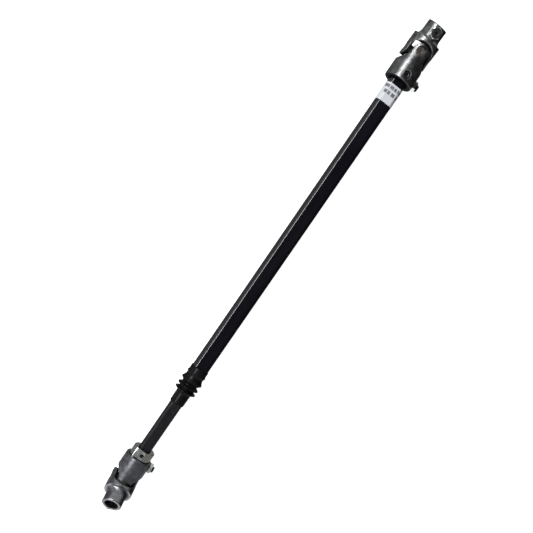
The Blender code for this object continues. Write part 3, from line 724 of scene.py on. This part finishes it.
def tube_yoke(blank):
    """Yoke on the outer tube: double-D socket, one recessed set screw and one with a nut."""
    name = "upper_tube_yoke"
    low = SLOT_BOTTOM - 4 * MM
    socket = loft(name + "_socket", [polar_ring(double_d(TUBE_SECTION, 0.12 * MM), z, MEDIUM)
                                     for z in (low, YOKE_LENGTH)])
    mouth = lathe(name + "_mouth", [(MOUTH_RADIUS, YOKE_LENGTH - MOUTH_DEPTH),
                                    (MOUTH_RADIUS, YOKE_LENGTH - 0.7 * MM),
                                    (MOUTH_RADIUS + 1.5 * MM, YOKE_LENGTH + 0.8 * MM)])
    height = YOKE_LENGTH - TUBE_SCREW_INSET
    seat = YOKE_RADIUS - NUT_SEAT_DEPTH
    tools = [socket, mouth, ear_bores(name + "_ear_bores")]
    inner = TUBE_SECTION[1] - MM
    tools += screw_hole(name + "_front", FRONT_SCREW_ANGLE, height, inner, YOKE_RADIUS, sink=1.3 * MM)
    tools += screw_hole(name + "_side", -pi / 2, height, inner, seat, seat)
    yoke = machined(name + "_body", blank, tools)
    finish_piece(yoke, TUBE_FRAME, "tube", TUBE_YOKE_STEEL, [name])
    bearings(name, TUBE_FRAME, "tube")
    set_screw(name + "_front_set_screw", TUBE_FRAME, "tube", FRONT_SCREW_ANGLE, height, FRONT_SCREW_TIP,
              YOKE_RADIUS - RECESS)
    outer = seat + GAP + NUT_THICKNESS + SCREW_PROUD
    set_screw(name + "_side_set_screw", TUBE_FRAME, "tube", -pi / 2, height, TUBE_SECTION[0] + GAP, outer)
    jam_nut(name + "_jam_nut", TUBE_FRAME, "tube", -pi / 2, height, seat + 0.05 * MM)


def shaft_yoke(blank):
    """Yoke on the inner shaft: double-D socket under the counterbore that holds the collar."""
    name = "lower_shaft_yoke"
    low = SLOT_BOTTOM - 4 * MM
    socket = loft(name + "_socket", [polar_ring(double_d(SHAFT_SECTION, 0.12 * MM), z, MEDIUM)
                                     for z in (low, YOKE_LENGTH)])
    floor = YOKE_LENGTH - COLLAR_SEATED - GAP
    counterbore = lathe(name + "_counterbore", [(COLLAR_RADIUS + 0.25 * MM, floor),
                                                (COLLAR_RADIUS + 0.25 * MM, YOKE_LENGTH - 0.4 * MM),
                                                (COLLAR_RADIUS + 1.6 * MM, YOKE_LENGTH + MM)])
    height = YOKE_LENGTH - SHAFT_SCREW_INSET
    seat = YOKE_RADIUS - NUT_SEAT_DEPTH
    tools = [socket, counterbore, ear_bores(name + "_ear_bores")]
    tools += screw_hole(name, pi / 2, height, COLLAR_RADIUS - MM, seat, seat)
    yoke = machined(name + "_body", blank, tools)
    finish_piece(yoke, BAR_FRAME, "bar", SHAFT_YOKE_STEEL, [name])
    bearings(name, BAR_FRAME, "bar")
    outer = seat + GAP + NUT_THICKNESS + SCREW_PROUD
    set_screw(name + "_set_screw", BAR_FRAME, "bar", pi / 2, height, COLLAR_RADIUS + GAP, outer)
    jam_nut(name + "_jam_nut", BAR_FRAME, "bar", pi / 2, height, seat + 0.05 * MM)


# ---------------------------------------------------------------- screws, nuts and bearings

def set_screw(name, place, body, angle, height, inner, outer):
    """A threaded set screw with a hexagon socket and a chamfered end."""
    def thread(z):
        fade = min(1.0, (outer - z) / THREAD_LEAD, (z - inner) / THREAD_LEAD)
        crest = SCREW_RADIUS - THREAD_DEPTH * (1.0 - max(fade, 0.0))

        def radius_at(a):
            wave = abs((z / THREAD_PITCH - a / (2 * pi)) % 1.0 - 0.5) * 2
            return min(crest, SCREW_RADIUS - THREAD_DEPTH * wave)
        return radius_at
    levels = 6 * int((outer - inner) / THREAD_PITCH)
    heights = [inner + (outer - inner) * i / levels for i in range(levels + 1)]
    screw = loft(name + "_threaded", [polar_ring(thread(z), z, SMALL) for z in heights])
    hexagonal = hexagon(SOCKET_ACROSS_FLATS)
    ends = (outer - SOCKET_DEPTH, outer + MM)
    socket = loft(name + "_socket", [polar_ring(hexagonal, z, SMALL) for z in ends])
    sink = lathe(name + "_sink", [(SOCKET_ACROSS_FLATS * 0.45, outer - 0.5 * MM),
                                  (SOCKET_ACROSS_FLATS * 0.66, outer + 0.1 * MM)])
    screw = moved(combined(screw, [socket, sink], "DIFFERENCE", "EXACT"), radial(angle, height))
    finish_piece(screw, place, body, OXIDE, [name])


def jam_nut(name, place, body, angle, height, inner):
    """A thin hexagon nut, chamfered on both faces, one corner towards the joint."""
    flat = NUT_ACROSS_FLATS / 2
    outer = inner + NUT_THICKNESS
    hexagonal = hexagon(NUT_ACROSS_FLATS, pi / 6)

    def chamfered(z):
        limit = flat * 0.97 + min(z - inner, outer - z) / tan(radians(30))
        return lambda a: min(hexagonal(a), limit)
    shares = (0, 0.04, 0.08, 0.12, 0.18, 0.5, 0.82, 0.88, 0.92, 0.96, 1)
    outside = [inner + NUT_THICKNESS * share for share in shares]
    rings = [polar_ring(chamfered(z), z, MEDIUM) for z in outside]
    hole = SCREW_RADIUS + 0.03 * MM
    bevel = 0.5 * MM
    bore = ((hole + bevel, outer), (hole, outer - bevel), (hole, inner + bevel), (hole + bevel, inner))
    for radius, z in bore:
        rings.append(polar_ring(lambda a, r=radius: r, z, MEDIUM))
    nut = moved(loft(name + "_hexagon", rings, closed=True), radial(angle, height))
    finish_piece(nut, place, body, ZINC, [name])


def cup_profile():
    """Bore, mouth, outside and closed end, with a turned ring and a centre dimple on the end."""
    edge = arc((CUP_RADIUS - CUP_EDGE, CUP_FACE - CUP_EDGE), (CUP_EDGE, CUP_EDGE), 0.0, pi / 2, 6)
    groove = CUP_FACE - 0.22 * MM
    ring = [(4.35 * MM, CUP_FACE), (4.15 * MM, groove), (3.7 * MM, groove), (3.5 * MM, CUP_FACE)]
    dimple = [(1.1 * MM, CUP_FACE), (0.01 * MM, CUP_FACE - 0.5 * MM)]
    return [(CUP_BORE_RADIUS, CUP_FACE - CUP_FLOOR), (CUP_BORE_RADIUS, CUP_MOUTH),
            (CUP_RADIUS, CUP_MOUTH), *edge, *ring, *dimple]


def bearings(prefix, place, body):
    """Finished cup and seal in each ear; the needle rollers inside keep their CAD shape."""
    inner = TRUNNION_RADIUS + 0.1 * MM
    seal_top = CUP_MOUTH - 0.05 * MM
    seal_low = seal_top - SEAL_THICKNESS - GAP
    lip = arc((CROSS_BOSS_RADIUS - 0.3 * MM, (seal_low + seal_top) / 2),
              (0.55 * MM, (seal_top - seal_low) / 2), -pi / 2, pi / 2, 8)
    for side, angle in (("a", 0.0), ("b", pi)):
        outward = radial(angle, 0.0)
        cup = lathe(f"{prefix}_cup_{side}", cup_profile())
        finish_piece(moved(face_outwards(cup), outward), place, body, BEARING,
                     [f"{prefix}_bearing_cup_{side}"])
        section = [(inner, seal_low), *lip, (inner, seal_top)]
        seal = lathe(f"{prefix}_lip_seal_{side}", section, closed=True)
        finish_piece(moved(face_outwards(seal), outward), place, body, SEAL_RUBBER,
                     [f"{prefix}_cup_seal_{side}"])


def cross(prefix, place):
    """Spider: two spindles through a rounded centre."""
    reach = CUP_FACE - CUP_FLOOR - GAP
    half = [(CROSS_BOSS_RADIUS, 0.0), (CROSS_BOSS_RADIUS, CROSS_BOSS_REACH - 0.5 * MM),
            (CROSS_BOSS_RADIUS - 0.5 * MM, CROSS_BOSS_REACH), (TRUNNION_RADIUS + 0.4 * MM, CROSS_BOSS_REACH),
            (TRUNNION_RADIUS, CROSS_BOSS_REACH + 0.4 * MM), (TRUNNION_RADIUS, reach - 0.5 * MM),
            (TRUNNION_RADIUS - 0.5 * MM, reach)]
    profile = [(radius, -z) for radius, z in reversed(half[1:])] + half
    name = prefix + "_spider"
    half_facet = Matrix.Rotation(pi / COARSE, 4, "Z")
    first = moved(lathe(name, profile, COARSE), radial(0.0, 0.0))
    second = moved(lathe(name + "_b", profile, COARSE), radial(pi / 2, 0.0) @ half_facet)
    centre = arc((0.0, 0.0), (8.2 * MM, 6.9 * MM), -pi / 2 + 0.1, pi / 2 - 0.1, 16)
    core = lathe(name + "_core", centre, COARSE)
    spider = combined(first, [second, core], "UNION", "EXACT")
    finish_piece(spider, place, prefix + "_cross", BEARING, [prefix + "_cross"])


# ---------------------------------------------------------------- tube, bar, label, boot, collar

def double_d_sleeve(name, section, hole, start, end, bevel):
    """A double-D tube with bevelled ends."""
    outer = [(section, -bevel, start), (section, 0.0, start + bevel), (section, 0.0, end - bevel),
             (section, -bevel, end)]
    inner = [(hole, bevel, end), (hole, 0.0, end - bevel), (hole, 0.0, start + bevel), (hole, bevel, start)]
    rings = [polar_ring(double_d(shape, growth), z, FINE) for shape, growth, z in outer + inner]
    return loft(name, rings, closed=True)


def outer_tube():
    """Double-D tube from the upper yoke's socket into the boot's cuff."""
    hole = (SHAFT_SECTION[0] + GAP, SHAFT_SECTION[1] + GAP)
    tube = double_d_sleeve("double_d_tube", TUBE_SECTION, hole, BAR_SEAT, TUBE_END, 0.4 * MM)
    finish_piece(tube, TUBE_FRAME, "tube", TUBE_PAINT, ["outer_tube"])


def inner_shaft():
    """Double-D bar from the lower yoke's socket into the tube."""
    bevel = 0.5 * MM
    stations = [(-bevel, BAR_SEAT), (0.0, BAR_SEAT + bevel),
                (0.0, SHAFT_REACH - bevel), (-bevel, SHAFT_REACH)]
    rings = [polar_ring(double_d(SHAFT_SECTION, growth), z, FINE) for growth, z in stations]
    bar = loft("double_d_bar", rings)
    finish_piece(bar, BAR_FRAME, "bar", BAR_STEEL, ["inner_shaft"])


def label_band():
    """Thin band wrapped round the tube just below the upper yoke."""
    thickness = 0.16 * MM
    band = double_d_sleeve("blank_label", (TUBE_SECTION[0] + thickness, TUBE_SECTION[1] + thickness),
                           (TUBE_SECTION[0] + 0.01 * MM, TUBE_SECTION[1] + 0.01 * MM),
                           LABEL_START, LABEL_START + LABEL_LENGTH, 0.03 * MM)
    finish_piece(band, TUBE_FRAME, "tube", VINYL, ["tube_label"])


def boot():
    """Cuff with a bead, three bellows and a wiper sleeve, all softly rounded."""
    outer = [(0.0, 13.2), (0.5, 13.6), (4.0, 13.7), (7.4, 13.6), (8.6, 14.1), (9.9, 14.7), (11.2, 14.1),
             (12.4, 13.5), (15.6, 13.5), (19.0, 14.8), (21.2, 16.1), (22.0, 16.4), (22.9, 16.0), (25.2, 13.4),
             (26.7, 12.2), (27.9, 12.1), (29.2, 13.4), (30.9, 16.0), (31.7, 16.5), (32.5, 16.0), (34.0, 13.3),
             (35.0, 12.1), (35.8, 12.0), (36.9, 13.4), (38.2, 15.9), (38.9, 16.4), (39.7, 15.9), (41.4, 12.9),
             (42.4, 11.5), (43.8, 11.15), (51.0, 11.1), (60.2, 10.9), (61.5, 10.6), (62.0, 10.3)]
    wiper = SHAFT_SECTION[0] + 0.05 * MM
    cuff = TUBE_SECTION[0] + 0.03 * MM
    outside = [(r * MM, BOOT_START + z * MM) for z, r in curve_through(outer, 3)]
    inside = [(wiper, BOOT_START + BOOT_LENGTH), (wiper, BOOT_START + 43.4 * MM)]
    for z, r in ((38.9, 15.2), (35.4, 10.8), (31.7, 15.3), (27.3, 10.9), (22.0, 15.2), (17.2, 12.9)):
        inside.append((r * MM, BOOT_START + z * MM))
    inside += [(cuff, BOOT_START + 15.6 * MM), (cuff, BOOT_START)]
    piece = lathe("bellows_boot", outside + inside, MEDIUM, closed=True)
    finish_piece(face_outwards(piece), TUBE_FRAME, "tube", RUBBER,
                 ["sliding_joint_boot"], 50.0)


def adapter_collar():
    """Zinc-plated bushing with two flats, a radial hole and its screw."""
    low = YOKE_LENGTH - COLLAR_SEATED
    high = YOKE_LENGTH + COLLAR_PROUD
    bevel = 0.9 * MM
    section = (COLLAR_RADIUS, COLLAR_FLAT)

    def outside(growth):
        flats = double_d(section, 0.0, COLLAR_FLAT_TURN, 260.0)
        return lambda a: min(flats(a), COLLAR_RADIUS + growth)
    stations = [(-bevel, low), (0.0, low + bevel), (0.0, high - bevel), (-bevel, high)]
    rings = [polar_ring(outside(growth), z, FINE) for growth, z in stations]
    rings += [polar_ring(double_d(SHAFT_SECTION, growth), z, FINE)
              for growth, z in ((0.5 * MM, high), (0.1 * MM, high - 0.4 * MM), (0.1 * MM, low))]
    collar = loft("zinc_collar", rings, closed=True)
    outward = radial(0.0, YOKE_LENGTH + COLLAR_SCREW_HEIGHT)
    radius = COLLAR_SCREW_RADIUS + 0.1 * MM
    hole = lathe("collar_hole", [(radius, SHAFT_SECTION[1] / 2), (radius, COLLAR_FLAT - 0.4 * MM),
                                 (radius + 0.9 * MM, COLLAR_FLAT + 0.5 * MM), (radius + 0.9 * MM, 30 * MM)])
    collar = combined(face_outwards(collar), [moved(hole, outward)], "DIFFERENCE", "EXACT")
    finish_piece(collar, BAR_FRAME, "bar", SHADED_ZINC, ["adapter_collar"])
    top = COLLAR_FLAT - 1.2 * MM
    screw = lathe("collar_grub_screw", [(COLLAR_SCREW_RADIUS, SHAFT_SECTION[1] + GAP),
                                        (COLLAR_SCREW_RADIUS, top - 0.4 * MM),
                                        (COLLAR_SCREW_RADIUS - 0.4 * MM, top)], COARSE)
    hexagonal = hexagon(COLLAR_SOCKET_ACROSS_FLATS)
    socket = loft("collar_socket", [polar_ring(hexagonal, z, SMALL) for z in (top - 1.8 * MM, top + MM)])
    screw = moved(combined(screw, [socket], "DIFFERENCE", "EXACT"), outward)
    finish_piece(screw, BAR_FRAME, "bar", OXIDE, ["adapter_collar_screw"])


# ---------------------------------------------------------------- studio

def area_light(name, at, towards, size, power):
    """A soft rectangular lamp, its long side along the shaft."""
    data = bpy.data.lights.new(name, "AREA")
    data.shape = "RECTANGLE"
    data.size = size[0]
    data.size_y = size[1]
    data.energy = power
    lamp = bpy.data.objects.new(name, data)
    bpy.context.scene.collection.objects.link(lamp)
    back = (Vector(at) - Vector(towards)).normalized()
    side = back.cross(Vector((1.0, 0.0, 0.0))).normalized()
    axes = Matrix((side.cross(back), side, back)).transposed().to_4x4()
    lamp.matrix_world = Matrix.Translation(at) @ axes


class Surround:
    """World background: white to the camera, and soft dim areas in what the metal mirrors."""

    def __init__(self, tree):
        self.tree = tree
        self.split = tree.nodes.new("ShaderNodeSeparateXYZ")
        coordinates = tree.nodes.new("ShaderNodeTexCoord")
        tree.links.new(coordinates.outputs["Generated"], self.split.inputs["Vector"])

    def part(self, axis, start, end, level):
        """Brightness that rises along one direction."""
        node = self.tree.nodes.new("ShaderNodeMapRange")
        node.interpolation_type = "SMOOTHSTEP"
        node.inputs["From Min"].default_value = start
        node.inputs["From Max"].default_value = end
        node.inputs["To Max"].default_value = level
        self.tree.links.new(self.split.outputs[axis], node.inputs["Value"])
        return node.outputs["Result"]

    def finish(self, parts, base):
        """Take the brightest part everywhere, and show white to the camera."""
        total = base
        for part in parts:
            node = self.tree.nodes.new("ShaderNodeMath")
            node.operation = "MAXIMUM"
            self.tree.links.new(part, node.inputs[0])
            if total is base:
                node.inputs[1].default_value = base
            else:
                self.tree.links.new(total, node.inputs[1])
            total = node.outputs["Value"]
        path = self.tree.nodes.new("ShaderNodeLightPath")
        mix = self.tree.nodes.new("ShaderNodeMix")
        self.tree.links.new(path.outputs["Is Camera Ray"], mix.inputs["Factor"])
        self.tree.links.new(total, mix.inputs["A"])
        mix.inputs["B"].default_value = BACKGROUND_LEVEL
        background = self.tree.nodes["Background"]
        self.tree.links.new(mix.outputs["Result"], background.inputs["Color"])


def studio():
    """Pale floor, white surround, a strip light on the left of the camera and a weak fill."""
    floor = bpy.data.objects.new("floor", bpy.data.meshes.new("floor"))
    work = bmesh.new()
    bmesh.ops.create_grid(work, x_segments=8, y_segments=8, size=FLOOR_HALF_SIZE)
    work.to_mesh(floor.data)
    work.free()
    keep_local_place(floor.data)
    recipe = Recipe("pale_floor", (0.9, 0.9, 0.91), 0.8, 0.0)
    speckle = recipe.noise(30.0, 3.0)
    recipe.colour(recipe.ramp(speckle, [(0.3, (0.86, 0.86, 0.87)), (0.7, (0.9, 0.9, 0.905))]))
    recipe.shader.inputs["Emission Color"].default_value = (1.0, 1.0, 1.0, 1.0)
    recipe.shader.inputs["Emission Strength"].default_value = 0.94
    floor.data.materials.append(recipe.material)
    floor.visible_glossy = False
    floor.visible_diffuse = False
    bpy.context.scene.collection.objects.link(floor)

    world = bpy.data.worlds.new("studio")
    bpy.context.scene.world = world
    world.use_nodes = True
    surround = Surround(world.node_tree)
    left = surround.part("Y", -0.05, 0.35, 0.2)
    low_end = surround.part("X", -0.18, -0.38, 0.40)
    low_horizon = surround.part("X", -0.75, -0.95, 1.2)
    upper_end = surround.part("X", 0.38, 0.8, 0.5)
    floor_bounce = surround.part("Z", -0.72, -0.93, 0.28)
    surround.finish([left, low_end, low_horizon, upper_end, floor_bounce], 0.01)

    middle = (UPPER_CENTRE + LOWER_CENTRE) / 2
    aim = middle + Vector((KEY_ALONG, 0.0, 0.0))
    area_light("key_strip", aim + Vector((0.0, 0.93, 1.9)), aim, (2.2, 0.46), 42.0)
    area_light("left_fill", middle + Vector((0.0, 2.0, 0.5)), middle, (2.6, 0.7), 2.2)


def camera():
    """Above the shaft, a little towards its upper end, turned so that the shaft runs corner to corner."""
    data = bpy.data.cameras.new("camera")
    data.lens = CAMERA_LENS
    data.shift_y = CAMERA_SHIFT_Y
    eye = bpy.data.objects.new("camera", data)
    bpy.context.scene.collection.objects.link(eye)
    middle = (UPPER_CENTRE + LOWER_CENTRE) / 2
    eye.location = middle + Vector((CAMERA_ALONG, 0.0, CAMERA_HEIGHT))
    eye.rotation_euler = [radians(angle) for angle in CAMERA_TURN]
    bpy.context.scene.camera = eye


def build():
    """Set up the studio, then make every piece."""
    bpy.context.scene.view_settings.view_transform = "Standard"
    camera()
    studio()
    end_blank = forging("end_yoke_forging", end_yoke_profile())
    tube_blank = forging("tube_yoke_forging", full_yoke_profile(1.0 * MM))
    tube_yoke(tube_blank)
    outer_tube()
    label_band()
    boot()
    shaft_yoke(tube_blank)
    inner_shaft()
    adapter_collar()
    end_yoke("upper", UPPER_END_FRAME, end_blank, UPPER_END_STEEL, UPPER_END_SCREW_ANGLE,
             END_YOKE_LENGTH - UPPER_END_SCREW_INSET)
    end_yoke("lower", LOWER_END_FRAME, end_blank, LOWER_END_STEEL, -pi / 2,
             END_YOKE_LENGTH - LOWER_END_SCREW_INSET)
    cross("upper", TUBE_FRAME)
    cross("lower", BAR_FRAME)
    for blank in (end_blank, tube_blank):
        bpy.data.objects.remove(blank)
    for name, node in frame["nodes"].items():
        if "needle_rollers" in name:
            keep_local_place(node.data)
            node.data.materials.clear()
            node.data.materials.append(ROLLER)


build()
